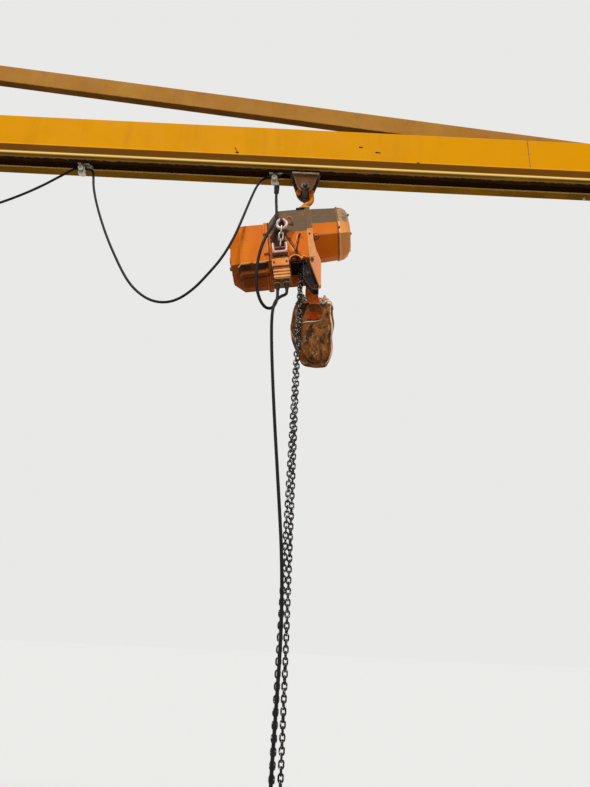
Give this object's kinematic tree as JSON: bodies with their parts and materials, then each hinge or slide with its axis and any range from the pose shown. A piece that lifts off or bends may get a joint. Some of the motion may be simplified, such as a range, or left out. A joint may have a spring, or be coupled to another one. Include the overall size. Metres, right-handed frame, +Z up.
{
  "type": "pillar jib crane with chain hoist",
  "caption": "Free-standing pillar jib crane: slotted yellow track arm with an overhead tie, a chain hoist on a trolley, festoon cables and a hanging hook block.",
  "frame": {"origin": "on the floor face of the base plate, under the middle of the pillar", "axes": "+X along the arm at rest, from the pillar towards the arm's free end; +Z up"},
  "size_m": [5.506, 0.56, 4.906],
  "materials": {
    "rail_yellow": "satin",
    "tie_ochre": "satin",
    "hoist_orange": "satin",
    "cap_orange": "satin",
    "motor_orange": "satin",
    "hook_orange": "satin",
    "rusty_steel": "matte",
    "zinc_steel": "satin",
    "black_steel": "satin",
    "black_plastic": "matte",
    "cream_nylon": "satin",
    "cable_grey": "matte",
    "bag_fabric": "matte",
    "bronze": "satin",
    "box_grey": "matte",
    "buffer_rubber": "matte",
    "button_black": "satin"
  },
  "bodies": {
    "pillar": {"base_plate": "tie_ochre", "base_gussets": "tie_ochre", "pillar_column": "tie_ochre", "pillar_cap": "tie_ochre", "lower_bearing_bracket": "tie_ochre", "upper_bearing_bracket": "tie_ochre", "pivot_bushes": "bronze"},
    "jib": {"slewing_post": "tie_ochre", "pivot_pins": "zinc_steel", "rail_root_plate": "tie_ochre", "jib_rail": "rail_yellow", "rail_end_cap": "rail_yellow", "rail_stops": "buffer_rubber", "overhead_tie": "tie_ochre", "cable_anchor_box": "box_grey", "inner_festoon_cable": "cable_grey"},
    "cable_carrier_1": {"cable_carrier": "zinc_steel", "carrier_saddle": "cream_nylon", "carrier_wheels": "cream_nylon"},
    "hoist_trolley": {"trolley_wheels": "black_steel", "trolley_block": "rusty_steel", "trolley_yoke": "rusty_steel", "yoke_pin": "zinc_steel", "tow_carrier": "zinc_steel", "tow_saddle": "cream_nylon", "outer_festoon_cable": "cable_grey"},
    "hoist": {"suspension_hook": "hook_orange", "hoist_casting": "hoist_orange", "flange_ear": "hoist_orange", "gear_cover": "hoist_orange", "motor_housing": "motor_orange", "motor_end_cap": "cap_orange", "safety_ring": "zinc_steel", "strain_chain": "zinc_steel", "cable_bow": "zinc_steel", "cable_glands": "hoist_orange", "chain_guide": "black_steel", "bag_bracket": "hook_orange", "chain_bag": "bag_fabric", "lifting_chain": "black_steel", "hook_block": "hoist_orange", "load_hook": "hook_orange", "pendant_control": "black_plastic", "pendant_buttons": "button_black", "power_cable": "cable_grey", "pendant_cable": "cable_grey"}
  },
  "joints": [
    {"name": "jib_slew", "type": "hinge", "parent": "pillar", "child": "jib", "pos_m": [0.32, 0, 4], "axis": [0, 0, 1], "range_deg": [-120, 120]},
    {"name": "trolley_travel", "type": "slide", "parent": "jib", "child": "hoist_trolley", "axis": [1, 0, 0], "range_m": [-2.4, 1.4], "deforming": ["outer_festoon_cable", "inner_festoon_cable"]},
    {"name": "carrier_travel", "type": "slide", "parent": "jib", "child": "cable_carrier_1", "axis": [1, 0, 0], "range_m": [-1.488, 0.868]},
    {"name": "hoist_swing", "type": "hinge", "parent": "hoist_trolley", "child": "hoist", "pos_m": [3.42, 0, 3.712], "axis": [0, 1, 0], "range_deg": [-8, 8], "deforming": ["power_cable"]}
  ],
  "couplings": [
    {"joint": "carrier_travel", "follows": "trolley_travel", "ratio": 0.62}
  ]
}
